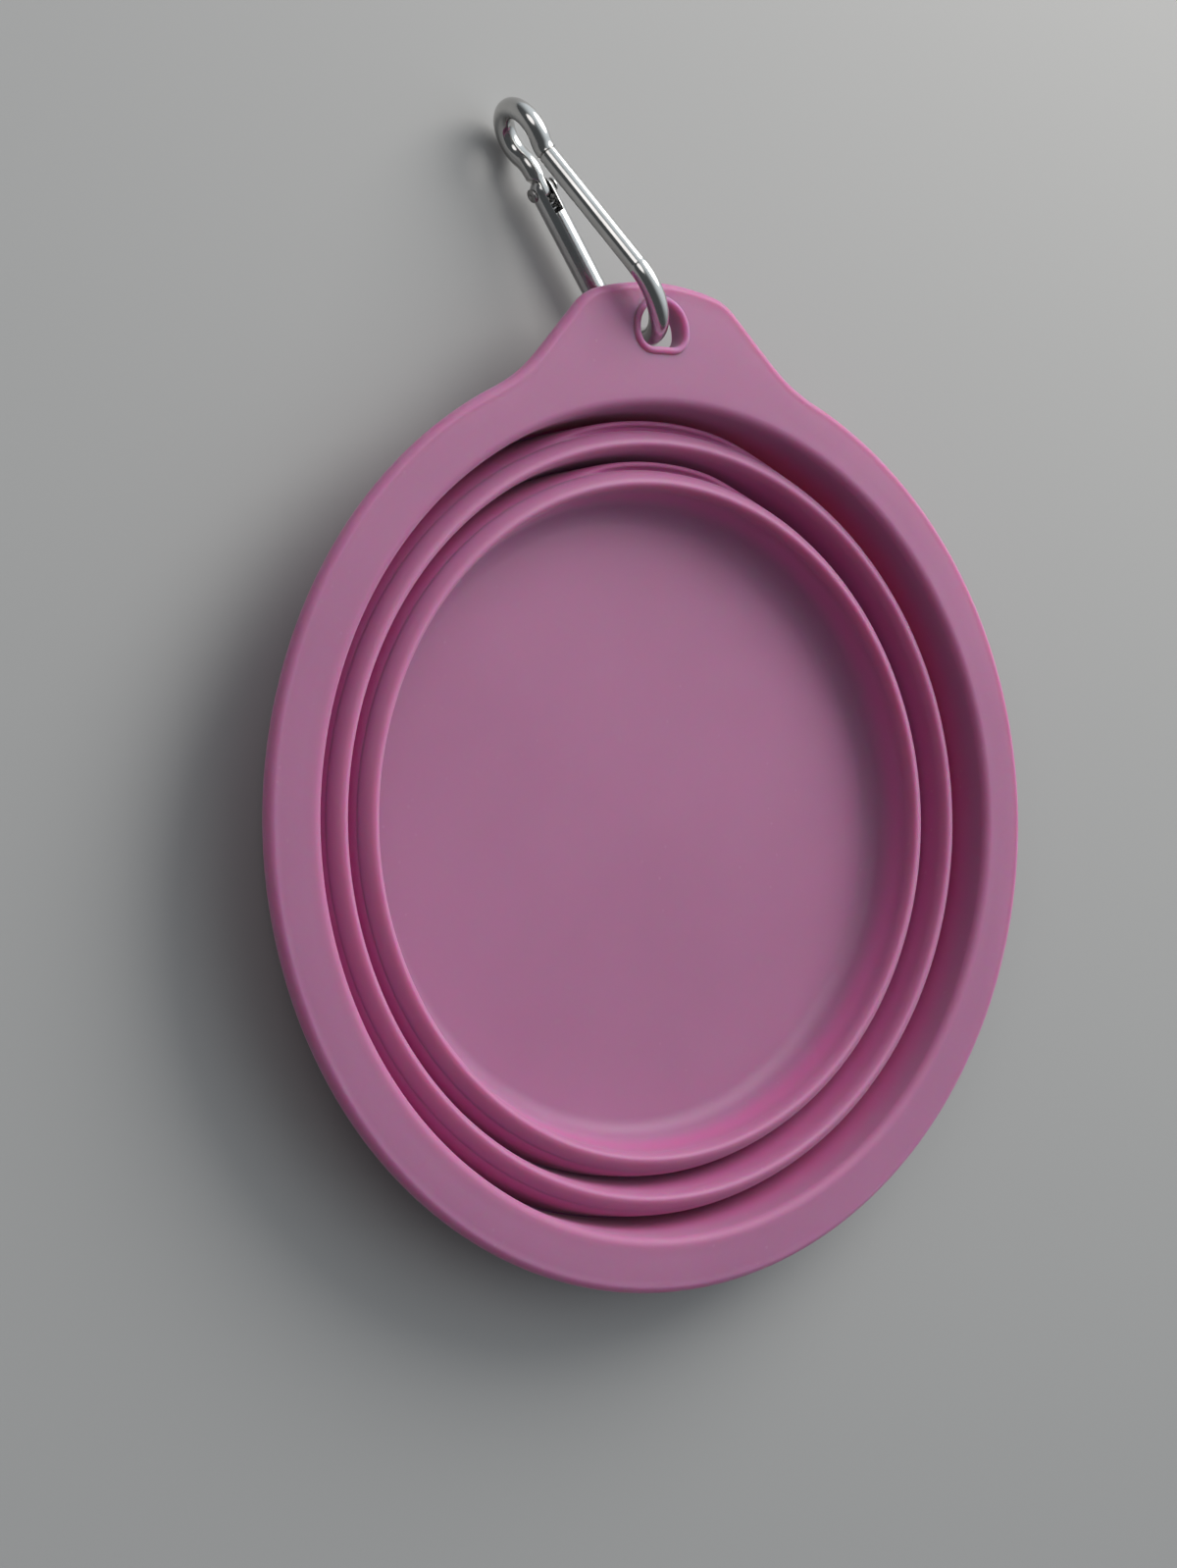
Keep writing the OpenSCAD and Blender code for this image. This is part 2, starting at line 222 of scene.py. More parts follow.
def makeSiliconeSkin():
    # moulded skin: a fine matte grain, broad cloudy tone, and a little dust that clings to it
    scales = {"Grain Scale": 2600.0, "Cloud Scale": 26.0, "Dust Scale": 420.0, "Dust": 0.5}
    group, start, end = newGroup("siliconeSkin", scales, ("Cloud", "Dust", "Grain"))
    patchScale, cloudSpan, speckSpan, patchSpan = 60, (0.3, 0.7), (0.13, 0.05), (0.52, 0.66)
    where = start["Vector"]
    grain = addTexture(group, "ShaderNodeTexNoise", 200, where, start["Grain Scale"], 3)
    cloud = addTexture(group, "ShaderNodeTexNoise", 0, where, start["Cloud Scale"], 4)
    dust = addTexture(group, "ShaderNodeTexVoronoi", -200, where, start["Dust Scale"])
    patch = addTexture(group, "ShaderNodeTexNoise", -450, where, patchScale)
    speck = ramp(group, -300, -200, dust.outputs["Distance"], speckSpan)
    dusty = ramp(group, -300, -450, patch.outputs["Fac"], patchSpan)
    specks = addMath(group, -60, -300, "MULTIPLY", speck, dusty)
    feed(group, ramp(group, -300, 0, cloud.outputs["Fac"], cloudSpan), end["Cloud"])
    feed(group, addMath(group, 140, -300, "MULTIPLY", specks, start["Dust"]), end["Dust"])
    feed(group, grain.outputs["Fac"], end["Grain"])
    return group


def makePlatedSkin():
    # bright plating: faint smudges, small dull marks and a slow ripple
    scales = {"Mark Scale": 900.0, "Smudge Scale": 160.0}
    group, start, end = newGroup("platedSkin", scales, ("Smudge", "Mark", "Ripple"))
    rippleScale, smudgeSpan, markSpan = 420, (0.35, 0.75), (0.05, 0.0)
    where = start["Vector"]
    smudge = addTexture(group, "ShaderNodeTexNoise", 200, where, start["Smudge Scale"], 5)
    mark = addTexture(group, "ShaderNodeTexVoronoi", -50, where, start["Mark Scale"],
                      feature="DISTANCE_TO_EDGE")
    ripple = addTexture(group, "ShaderNodeTexNoise", -300, where, rippleScale)
    feed(group, ramp(group, -300, 200, smudge.outputs["Fac"], smudgeSpan), end["Smudge"])
    feed(group, ramp(group, -300, -50, mark.outputs["Distance"], markSpan), end["Mark"])
    feed(group, ripple.outputs["Fac"], end["Ripple"])
    return group


valleySizes = ("Inner Radius", "Outer Radius", "High", "Low", "Ridge Low", "Ridge High")


def makeValleyShading():
    # how deep between the tiers a place lies, for painted shade, and how high on a crest, for a painted
    # highlight
    group, start, end = newGroup("valleyShading", dict.fromkeys(valleySizes, 0.0), ("Depth", "Crest Highlight"))
    softWidth = 1.2 * mm
    split = addNode(group, "ShaderNodeSeparateXYZ", -700, 0)
    flat = addNode(group, "ShaderNodeCombineXYZ", -520, 150)
    radius = addNode(group, "ShaderNodeVectorMath", -360, 150, operation="LENGTH")
    feed(group, start["Vector"], split.inputs["Vector"])
    for axis in ("X", "Y"):
        feed(group, split.outputs[axis], flat.inputs[axis])
    feed(group, flat.outputs["Vector"], radius.inputs[0])
    past = addMath(group, -320, 320, "SUBTRACT", radius.outputs["Value"], start["Inner Radius"])
    outside = ramp(group, -180, 320, past, (0, softWidth), kind="SMOOTHSTEP")
    inside = addMath(group, -180, 60, "LESS_THAN", radius.outputs["Value"], start["Outer Radius"])
    band = addMath(group, 20, 120, "MULTIPLY", outside, inside)
    height = split.outputs["Z"]
    # painted shade and red bounce light: none above High, full below Low
    depth = ramp(group, -180, -120, height, (start["High"], start["Low"]), kind="SMOOTHSTEP")
    # painted highlight: lighter high on the crests
    ridgeHighlight = ramp(group, -180, -400, height, (start["Ridge Low"], start["Ridge High"]), kind="SMOOTHSTEP")
    feed(group, addMath(group, 200, 0, "MULTIPLY", band, depth), end["Depth"])
    feed(group, ridgeHighlight, end["Crest Highlight"])
    return group


siliconeSkin = makeSiliconeSkin()
valleyShading = makeValleyShading()
platedSkin = makePlatedSkin()


def newMaterial(name, sockets):
    material = bpy.data.materials.new(name)
    material.use_nodes = True
    tree = material.node_tree
    shader = tree.nodes["Principled BSDF"]
    for socket, value in sockets.items():
        shader.inputs[socket].default_value = value
    where = addNode(tree, "ShaderNodeTexCoord", -1100, 0)
    return material, tree, shader, where.outputs["Object"]


def addSkin(tree, y, group, where, values):
    skin = addNode(tree, "ShaderNodeGroup", -850, y, node_tree=group)
    feed(tree, where, skin.inputs["Vector"])
    for label, value in values.items():
        skin.inputs[label].default_value = value
    return skin.outputs


def mixColours(tree, x, y, factor, first, second):
    mix = addNode(tree, "ShaderNodeMix", x, y, data_type="RGBA")
    feed(tree, factor, mix.inputs["Factor"])
    for colour, socket in ((first, mix.inputs[6]), (second, mix.inputs[7])):      # the colour sockets A and B
        feed(tree, (*colour, 1) if isinstance(colour, tuple) else colour, socket)
    return mix.outputs[2]


def addBump(tree, shader, height, strength, distance):
    bump = addNode(tree, "ShaderNodeBump", -250, -350)
    bump.inputs["Strength"].default_value = strength
    bump.inputs["Distance"].default_value = distance * mm
    feed(tree, height, bump.inputs["Height"])
    feed(tree, bump.outputs["Normal"], shader.inputs["Normal"])


siliconeLook = {
    "light": (0.405, 0.158, 0.293), "dark": (0.375, 0.143, 0.27), "dust": (0.5, 0.28, 0.4),
    # painted shade and bounce light: the valley colour; painted highlight: the crest colour
    "valleyShade": (0.52, 0.115, 0.305), "ridgeHighlight": (0.42, 0.18, 0.31), "rough": (0.46, 0.56), "bump": (0.12, 0.02),
    "rimValley": (50.0, 57.9, 13.6, 8.0, 20, 21), "middleValley": (50.0, 57.9, 11.6, 7.6, 11.05, 11.35),
    "baseValley": (45.0, 57.9, 10.2, 5.0, 9.6, 9.9), "upperFoldValley": (50.0, 57.9, 11.6, 7.6, 20, 21),
    "lowerFoldValley": (45.4, 57.9, 10.2, 6.2, 20, 21),
    "shader": {"Subsurface Weight": 1.0, "Subsurface Radius": (1.0, 0.16, 0.45), "Subsurface Scale": 4.5 * mm,
               "Specular IOR Level": 0.42, "Sheen Weight": 0.12, "Sheen Roughness": 0.45, "IOR": 1.42},
    "thinWall": {"Subsurface Scale": 0.9 * mm},     # light spreads less far in a fold's thin wall
}


def makeSilicone(name, valley, dust=0.22, light="light", dark="dark", thin=False):
    look = siliconeLook
    sockets = {**look["shader"], **look["thinWall"]} if thin else look["shader"]
    material, tree, shader, where = newMaterial(name, sockets)
    skin = addSkin(tree, 0, siliconeSkin, where, {"Dust": dust})
    sizes = {label: size * mm for label, size in zip(valleySizes, look[valley])}
    depth = addSkin(tree, 350, valleyShading, where, sizes)
    tone = mixColours(tree, -560, 150, skin["Cloud"], look[light], look[dark])
    # painted shade: crimson low in the valleys between the tiers, for shade and red bounce light
    valleyShaded = mixColours(tree, -440, 350, depth["Depth"], tone, look["valleyShade"])
    # painted highlight: the crest tops are painted lighter
    crestHighlighted = mixColours(tree, -380, 350, depth["Crest Highlight"], valleyShaded, look["ridgeHighlight"])
    feed(tree, mixColours(tree, -330, 150, skin["Dust"], crestHighlighted, look["dust"]), shader.inputs["Base Color"])
    feed(tree, ramp(tree, -330, -100, skin["Cloud"], (0, 1), look["rough"]), shader.inputs["Roughness"])
    addBump(tree, shader, skin["Grain"], *look["bump"])
    return material


platedLook = {"wear": 0.04, "bump": (0.03, 0.02)}


def makePlated(name, bright, dull, rough, marks):
    material, tree, shader, where = newMaterial(name, {"Metallic": 1.0})
    skin = addSkin(tree, 0, platedSkin, where, {"Mark Scale": marks})
    feed(tree, mixColours(tree, -560, 150, skin["Smudge"], bright, dull), shader.inputs["Base Color"])
    gloss = ramp(tree, -560, -100, skin["Smudge"], (0, 1), rough)
    worn = addMath(tree, -330, -100, "MULTIPLY_ADD", skin["Mark"], platedLook["wear"], gloss)
    feed(tree, worn, shader.inputs["Roughness"])
    addBump(tree, shader, skin["Ripple"], *platedLook["bump"])
    return material


siliconeRim = makeSilicone("siliconeRim", "rimValley")
siliconeMiddle = makeSilicone("siliconeMiddle", "middleValley")
siliconeBase = makeSilicone("siliconeBase", "baseValley")
# painted light: the bead is painted paler than the rim, using the crest highlight colour, for light shining
# through the thin silicone round the hole
siliconeBeadLightened = makeSilicone("siliconeBeadLightened", "rimValley", 0.1, "ridgeHighlight", "light")
upperThin = makeSilicone("upperThin", "upperFoldValley", 0.0, thin=True)
lowerThin = makeSilicone("lowerThin", "lowerFoldValley", 0.0, thin=True)
platedWire = makePlated("platedWire", (0.63, 0.625, 0.61), (0.52, 0.515, 0.50), (0.10, 0.19), 900)
platedGate = makePlated("platedGate", (0.60, 0.60, 0.595), (0.50, 0.495, 0.49), (0.12, 0.21), 1200)
platedRivet = makePlated("platedRivet", (0.46, 0.45, 0.44), (0.32, 0.31, 0.30), (0.22, 0.36), 2200)
drawnSpring = makePlated("drawnSpring", (0.42, 0.42, 0.42), (0.33, 0.33, 0.33), (0.25, 0.35), 3000)
print("materials ready")


# The bowl: rim with its hanging tab, two thin folds, middle tier and base cup. A point of a profile is
# (radius, height).

rim = {"r": 65.0, "innerR": 57.35, "top": 14.5, "under": 11.5, "topEdge": 1.2, "lowEdge": 1.8,
       "innerEdge": 1.3, "corner": ((56.25, 1.1), (56.5, 1.25), (56.57, 1.7)), "wallOutTop": 59.55,
       "wallCorner": ((0.5, 0), (0.15, -0.15), (0, -0.5)), "endCentre": (57.65, 1.6), "endR": 1.1,
       "ledgeR": 55.3, "ledgeTop": 1.1, "bottom": 0.5, "soft": 0.15, "parting": (0.08, 0.06), "crown": 0.06,
       "crownAt": (0.12, 0.35, 0.65, 0.88), "circleSteps": 170}
tab = {"flank": 46.0, "offset": 59.04, "cornerX": 7.75, "cornerR": 8.0, "shoulderR": 25.0, "reach": 74.5}


def rimOutline():
    # (point, outward direction) all round the rim and the tab
    slope = 90 - tab["flank"]
    across, up = math.cos(degrees(slope)), math.sin(degrees(slope))
    corner = (tab["cornerX"], (tab["offset"] - tab["cornerR"] - tab["cornerX"] * across) / up)
    rise = tab["reach"] - corner[1]
    tipR = (corner[0] ** 2 + rise ** 2 - tab["cornerR"] ** 2) / (2 * (rise - tab["cornerR"]))
    tip = (0, tab["reach"] - tipR)
    far = tab["offset"] + tab["shoulderR"]
    side = math.sqrt((rim["r"] + tab["shoulderR"]) ** 2 - far ** 2)
    shoulder = (far * across - side * up, far * up + side * across)
    meet = math.degrees(math.atan2(shoulder[1], shoulder[0]))
    join = math.degrees(math.atan2(corner[1] - tip[1], corner[0]))
    right = []

    def addArc(centre, radius, start, stop, steps, sign):
        for i in range(steps + 1):
            angle = start + (stop - start) * i / steps
            way = (sign * math.cos(degrees(angle)), sign * math.sin(degrees(angle)))
            right.append((polar(centre, radius, angle), way))

    addArc((0, 0), rim["r"], -90, meet, rim["circleSteps"], 1)
    addArc(shoulder, tab["shoulderR"], 180 + meet, 180 + slope, 14, -1)
    flank = linePoints(right[-1][0], polar(corner, tab["cornerR"], slope), 6)
    right.extend((point, (across, up)) for point in flank[1:-1])
    addArc(corner, tab["cornerR"], slope, join, 12, 1)
    addArc(tip, tipR, join, 90, 8, 1)
    clean = [right[0]]
    for item in right[1:]:
        if math.dist(item[0], clean[-1][0]) > 0.05:
            clean.append(item)
    left = [((-p[0], p[1]), (-w[0], w[1])) for p, w in clean[-2:0:-1]]
    return clean + left


outline = rimOutline()


def edgeRing(inset, z):
    return [(p[0] - w[0] * inset, p[1] - w[1] * inset, z) for p, w in outline]


def roundRing(radius, z):
    reaches = [(p, math.hypot(*p)) for p, w in outline]
    return [(p[0] * radius / far, p[1] * radius / far, z) for p, far in reaches]


def between(first, second, share, lift=0.0):
    return [(a[0] + (b[0] - a[0]) * share, a[1] + (b[1] - a[1]) * share, a[2] + (b[2] - a[2]) * share + lift)
            for a, b in zip(first, second)]


def makeRim():
    top, under, inner, wallR = rim["top"], rim["under"], rim["innerEdge"], rim["wallOutTop"]
    end, endR, soft = rim["endCentre"], rim["endR"], rim["soft"]
    inside = [(rim["ledgeR"], rim["ledgeTop"]), *rim["corner"]]
    inside += linePoints(inside[-1], (rim["innerR"], top - inner), 5)[1:]
    inside += arcPoints((rim["innerR"] + inner, top - inner), inner, 180, 90, 7)[1:]
    rings = [roundRing(r, z) for r, z in inside]
    inTop, outTop = roundRing(rim["innerR"] + inner, top), edgeRing(rim["topEdge"], top)
    for share in rim["crownAt"]:
        rings.append(between(inTop, outTop, share, -rim["crown"] * (4 * (share - 0.5) ** 2)))
    rings.append(edgeRing(rim["topEdge"], top - rim["crown"]))
    level = top - rim["topEdge"]
    depth, half = rim["parting"]                    # the parting line's depth and half its width
    rings += [edgeRing(rim["topEdge"] - x, z) for x, z in arcPoints((0, level), rim["topEdge"], 80, 8, 6)]
    rings += [edgeRing(0, level + half), edgeRing(depth, level), edgeRing(0, level - half)]
    rings += [edgeRing(rim["lowEdge"] - x, z) for x, z in arcPoints((0, level), rim["lowEdge"], -6, -90, 7)]
    outside = [(wallR + out, under + up) for out, up in rim["wallCorner"]]
    low = roundRing(*outside[0])
    rings += [between(rings[-1], low, share) for share in (0.25, 0.75)]
    outside += linePoints(outside[-1], (end[0] + endR, end[1]), 4)[1:-1] + arcPoints(end, endR, 0, -90, 6)
    outside += [(rim["ledgeR"] + soft, rim["bottom"]), (rim["ledgeR"], rim["bottom"] + soft)]
    return growRings("rimAndTab", rings + [roundRing(r, z) for r, z in outside])


# the bead's points are (out from the hole's side, up from the tab's underside or from its top)
hole = {"w": 7.5, "reach": 67.8, "drop": 2.4, "cornerR": 2.1, "beadW": 0.95, "beadH": 0.5, "cut": 0.55,
        "fromUnder": ((0.6, 0.05), (0.3, 0.04), (0.1, 0.12), (0, 0.35), (0, 1.3)),
        "fromTop": ((1.05, -0.02), (1.05, -0.2), (0.8, -0.6)), "root": (0.8, 0.5)}


def holeRing(grow, z):
    half, corner = hole["w"] / 2 + grow, hole["cornerR"] + grow
    cornerY = hole["reach"] - hole["drop"] + hole["cornerR"]
    bottom = cornerY - corner
    points = arcPoints((0, hole["reach"]), half, 0, 180, 36)
    points += arcPoints((corner - half, cornerY), corner, 180, 270, 12)
    points += linePoints((corner - half, bottom), (half - corner, bottom), 6)[1:-1]
    points += arcPoints((half - corner, cornerY), corner, 270, 360, 12)
    clean = [points[0]]
    for p in points[1:]:
        if math.dist(p, clean[-1]) > 0.02 and math.dist(p, points[0]) > 0.02:
            clean.append(p)
    return [(x, y, z) for x, y in clean]


def makeBead():
    top, under, half = rim["top"], rim["under"], hole["beadW"] / 2
    rings = [holeRing(out, under + up) for out, up in hole["fromUnder"]] + [holeRing(0, top - 0.2)]
    for x, z in arcPoints((half, 0), half, 170, 12, 9):
        rings.append(holeRing(x, top + z * hole["beadH"] / half))
    rings += [holeRing(out, top + up) for out, up in hole["fromTop"]]
    return growRings("holeBead", rings + [holeRing(hole["root"][0], under + hole["root"][1])])


rimPiece = makeRim()
cutter = [holeRing(hole["cut"], rim["under"] - 1), holeRing(hole["cut"], rim["top"] + 1)]
cutAway(rimPiece, growRings("holeCutter", cutter, capped=True))
smoothFaces(rimPiece, 30)
dress(rimPiece, siliconeRim, "silicone", "rim_ring")
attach(rimPiece, "rim")
beadPiece = makeBead()
smoothFaces(beadPiece, 60)
dress(beadPiece, siliconeBeadLightened, "silicone")
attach(beadPiece, "rim")

tier = {"steps": 288, "squareness": (1.45, 1.9), "crestR": 1.45, "crestRise": 1.95, "lean": 0.45}
middle = {"crest": (53.15, 9.45), "end": (52.0, 1.6), "endR": 1.1, "ledgeR": 49.65, "ledgeTop": 1.1,
          "bottom": 0.5, "soft": 0.15, "corner": 0.3}
cup = {"crest": (47.85, 8.0), "floorR": 44.5, "floorTop": 2.0, "fillet": 3.0, "footR": 1.2, "footOuter": 46.8,
       "markR": 1.6, "markDepth": 0.25, "floorAt": (0.8, 0.6, 0.4, 0.2, 0.05, 0.01)}


def crestPoints(centre):
    points = []
    for i in range(25):
        angle = math.pi * i / 24
        c, s = math.cos(angle), math.sin(angle)
        side = 0 if c > 0 else 1                    # the outer flank is wide, the inner one steep
        power = 2 / tier["squareness"][side]
        wide = tier["crestR"] + tier["lean"] * (1 - 2 * side)
        points.append((centre[0] - tier["lean"] + wide * math.copysign(abs(c) ** power, c),
                       centre[1] + tier["crestRise"] * math.copysign(abs(s) ** power, s)))
    return points


def makeMiddle():
    crest, end, endR, corner = middle["crest"], middle["end"], middle["endR"], middle["corner"]
    ledgeR, ledgeTop, bottom, soft = middle["ledgeR"], middle["ledgeTop"], middle["bottom"], middle["soft"]
    profile = crestPoints(crest)
    profile += linePoints((crest[0] - tier["crestR"], crest[1]), (end[0] - endR, end[1] + corner), 4)[1:]
    profile += [(end[0] - endR - corner, ledgeTop), (ledgeR, ledgeTop), (ledgeR, bottom + soft),
                (ledgeR + soft, bottom)]
    profile += arcPoints(end, endR, -90, 0, 6)
    profile += linePoints((end[0] + endR, end[1]), (crest[0] + tier["crestR"], crest[1]), 4)[1:-1]
    return growRings("middleTier", turned(profile, tier["steps"]))


def makeCup():
    crest, floorR, floorTop, fillet = cup["crest"], cup["floorR"], cup["floorTop"], cup["fillet"]
    markR, markDepth, footR = cup["markR"], cup["markDepth"], cup["footR"]
    lean = math.degrees(math.atan2(crest[0] - tier["crestR"] - floorR, crest[1] - floorTop))
    back = fillet * math.tan(degrees(45 - lean / 2))
    foot = (cup["footOuter"] - footR, footR)
    profile = [(markR * 0.3, markDepth), (markR * 0.8, markDepth), (markR, 0.05), (markR * 1.1, 0)]
    profile += linePoints((0, 0), (foot[0], 0), 5)[1:-1] + arcPoints(foot, footR, -90, 0, 7)
    profile += linePoints(polar(foot, footR, 0), (crest[0] + tier["crestR"], crest[1]), 4)[1:-1]
    profile += crestPoints(crest)
    corner = arcPoints((floorR - back, floorTop + fillet), fillet, -lean, -90, 10)
    profile += linePoints(profile[-1], corner[0], 3)[1:-1] + corner
    profile += [(floorR * share, floorTop) for share in cup["floorAt"]]
    return growRings("baseCup", turned(profile, tier["steps"]), capped=True)


middlePiece = makeMiddle()
smoothFaces(middlePiece, 40)
dress(middlePiece, siliconeMiddle, "silicone", "middle_ring")
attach(middlePiece, "middle")
cupPiece = makeCup()
smoothFaces(cupPiece, 40)
dress(cupPiece, siliconeBase, "silicone", "base_cup")
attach(cupPiece, "base")

# Each fold climbs from the outer tier's ledge and runs over a soft shoulder into the crest's flank. Near the
# tab it buckles off the crest and stands up as a thin edge, which shows as a crescent.
upperFold = {"name": "upperFold", "low": (56.05, 0.8), "wallR": 55.3, "shoulder": (55.05, 8.65),
             "kneeDrop": 2.2, "into": (53.75, 10.2), "thick": 0.6, "edge": (55.75, 9.7), "edgeBend": 0.2,
             "edgeInto": (53.9, 8.8), "edgeThick": 0.32, "edgeAt": 88, "edgeWide": 20}
lowerFold = {"name": "lowerFold", "low": (50.4, 0.8), "wallR": 49.95, "shoulder": (49.75, 7.2),
             "kneeDrop": 2.2, "into": (48.45, 8.75), "thick": 0.6, "edge": (50.3, 8.2), "edgeBend": 0.2,
             "edgeInto": (48.6, 7.3), "edgeThick": 0.32, "edgeAt": 86, "edgeWide": 17}


def restLine(fold):
    shoulder, into = fold["shoulder"], fold["into"]
    knee = (fold["wallR"], shoulder[1] - fold["kneeDrop"])
    line = linePoints(fold["low"], knee, 10)
    for i in range(1, 12):
        t = i / 11
        away, by, near = (1 - t) ** 2, 2 * t * (1 - t), t ** 2
        line.append(tuple(knee[k] * away + shoulder[k] * by + into[k] * near for k in (0, 1)))
    return line


def edgeLine(fold):
    edge, bend, into = fold["edge"], fold["edgeBend"], fold["edgeInto"]
    knee = (edge[0], edge[1] - bend)
    line = linePoints(fold["low"], knee, 10)
    line += arcPoints((knee[0] - bend, knee[1]), bend, 0, 165, 6)[1:]
    last = line[-1]
    for i in range(1, 6):
        t = i / 5
        line.append((last[0] + (into[0] - last[0]) * t ** 2, last[1] + (into[1] - last[1]) * (2 - t) * t))
    return line


def foldRound(fold, rest, standing, angle):
    # the fold's section at one angle round the bowl, up its outer face and down its inner one
    off = (angle - fold["edgeAt"] + 180) % 360 - 180
    lift = math.exp(-(off / fold["edgeWide"]) ** 4) * (1 + 0.05 * math.sin(degrees(9 * angle)))
    spine = [(a[0] + (b[0] - a[0]) * lift, a[1] + (b[1] - a[1]) * lift) for a, b in zip(rest, standing)]
    half = (fold["thick"] + (fold["edgeThick"] - fold["thick"]) * lift) / 2
    outer, inner = [], []
    for i, (r, z) in enumerate(spine):
        before, after = spine[max(i - 1, 0)], spine[min(i + 1, len(spine) - 1)]
        along = Vector((after[0] - before[0], after[1] - before[1])).normalized()
        outer.append((r + along[1] * half, z - along[0] * half))
        inner.append((r - along[1] * half, z + along[0] * half))
    return outer + inner[::-1]


def makeFold(fold):
    rest, standing = restLine(fold), edgeLine(fold)
    angles = [360 * i / tier["steps"] for i in range(tier["steps"])]
    rounds = [[(r * math.cos(degrees(angle)), r * math.sin(degrees(angle)), z)
               for r, z in foldRound(fold, rest, standing, angle)] for angle in angles]
    return growRings(fold["name"], [list(ring) for ring in zip(*rounds)])


upperPiece = makeFold(upperFold)
smoothFaces(upperPiece, 60)
dress(upperPiece, upperThin, "silicone_thin", "upper_fold")
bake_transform(upperPiece)
lowerPiece = makeFold(lowerFold)
smoothFaces(lowerPiece, 60)
dress(lowerPiece, lowerThin, "silicone_thin", "lower_fold")
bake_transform(lowerPiece)
print("bowl ready")


# The clip is drawn flat, X along it to the hook and Y towards its gate, and then put in the tab's hole

clip = {"wideR": 7.15, "hookR": 4.05, "bendR": 3.0, "span": 25.0, "slope": 11.4, "wire": 1.4, "swell": 0.03,
        "nick": 0.16, "noseTurn": 3.2, "facets": 36}
gate = {"r": 1.8, "l": 16.806, "slotT": 1.5, "noseL": 2.6, "window": 3.5, "boreR": 1.05, "boreFrom": 4.15,
        "clear": 0.15, "noseClear": 0.25, "tongueT": 0.65, "tongueW": 1.25, "play": 0.1, "facets": 48,
        "lip": ((0, 0.22), (0.06, 0.08), (0.22, 0)), "soft": 0.07}
clipPlace = Matrix(((-0.475245, 0.221079, -0.851626, -3.4 * mm), (0.857364, -0.101079, -0.504687, 73.6 * mm),
                    (-0.197657, -0.970004, -0.141508, 10.8 * mm), (0, 0, 0, 1)))


def placeClip(piece):
    piece.data.transform(clipPlace)
    piece.data.update()


def wayAt(angle):
    return Vector((math.cos(degrees(angle)), math.sin(degrees(angle))))


slope = clip["slope"]
sideWay, sideOut = wayAt(-slope), wayAt(90 - slope)
sideEnd = sideOut * clip["wideR"]


def onSide(along, out=0.0, mirror=1):
    spot = sideEnd + sideWay * along + sideOut * out
    return Vector((spot.x, spot.y * mirror))


toHook = Vector((clip["span"], 0)) - sideEnd
hookAlong, hookOff = toHook.dot(sideWay), -toHook.dot(sideOut)
bendAlong = math.sqrt((clip["hookR"] + clip["bendR"]) ** 2 - (hookOff + clip["bendR"]) ** 2)
sideL = hookAlong - bendAlong
bendSweep = math.degrees(math.atan2(bendAlong, hookOff + clip["bendR"]))
hookSweep = 90 - slope + bendSweep


def wirePath():
    # (centre, across, half width, half thickness, squareness), from the nose round the wide end to the spine,
    # the hook and the tongue
    flatW, flatT, nose = gate["tongueW"], gate["tongueT"], gate["noseL"]
    wire, swell = clip["wire"], clip["swell"]
    path = []

    def addFlats(*rows):
        for along, wide, thick, square in rows:
            path.append((onSide(along), sideOut, wide, thick, square))

    def addBend(centre, radius, angles, size, side=1):
        for angle in angles:
            way = wayAt(angle)
            path.append((centre + way * radius, way * side, size, size, 2))

    addFlats((nose, flatW * 0.72, flatT * 0.5, 2.4), (nose - 0.12, flatW * 0.93, flatT * 0.85, 3),
             (nose - 0.35, flatW, flatT, 5), (0.9, flatW, flatT, 5), (0.1, flatW, flatT, 5),
             (-0.12, flatW * 1.03, flatT * 1.3, 3.6))
    first, last = 90 - slope + clip["noseTurn"], 270 + slope
    addBend(Vector((0, 0)), clip["wideR"], [first + (last - first) * i / 60 for i in range(61)], wire + swell)
    spineOut = Vector((sideOut.x, -sideOut.y))
    for along in [0.1, 0.3] + [sideL * k / 14 for k in range(1, 14)] + [sideL - 0.5, sideL - 0.12]:
        path.append((onSide(along, 0, -1), spineOut, wire, wire, 2))
    bend = onSide(sideL, clip["bendR"], -1)
    angles = [90 + slope - bendSweep * i / 12 for i in range(13)]
    addBend(bend, clip["bendR"], angles[:1], wire, -1)
    addBend(bend, clip["bendR"], angles[1:2], wire - clip["nick"], -1)
    addBend(bend, clip["bendR"], angles[2:], wire + 1.6 * swell, -1)
    angles = [-hookSweep + 2 * hookSweep * i / 64 for i in range(1, 64)]
    addBend(Vector((clip["span"], 0)), clip["hookR"], angles, wire + 2 * swell)
    angles = [270 - slope + bendSweep * (8 - i) / 8 for i in range(9)]
    addBend(onSide(sideL, clip["bendR"]), clip["bendR"], angles, wire + swell, -1)
    neck = gate["l"] + gate["r"] + gate["clear"]
    addFlats((sideL - 0.3, wire, wire, 2), (neck + 0.35, wire, wire, 2),
             (neck + 0.1, wire * 0.97, wire * 0.9, 2.4), (neck - 0.25, flatW * 1.02, flatT * 1.25, 4),
             (neck - 0.5, flatW, flatT, 5), (gate["l"] + 0.9, flatW, flatT, 5))
    for angle in (0, 18, 36, 52, 66, 78):           # rounded end of the tongue
        reach, wide = flatW * math.sin(degrees(angle)), flatW * math.cos(degrees(angle))
        addFlats((gate["l"] - reach, wide, flatT * (1 - 0.12 * angle / 78), 5))
    return path


def section(centre, across, wide, thick, square, facets=clip["facets"]):
    ring = []
    for k in range(facets):
        c, s = math.cos(turn * k / facets), math.sin(turn * k / facets)
        c, s = math.copysign(abs(c) ** (2 / square), c), math.copysign(abs(s) ** (2 / square), s)
        ring.append((centre.x + across.x * wide * c, centre.y + across.y * wide * c, thick * s))
    return ring


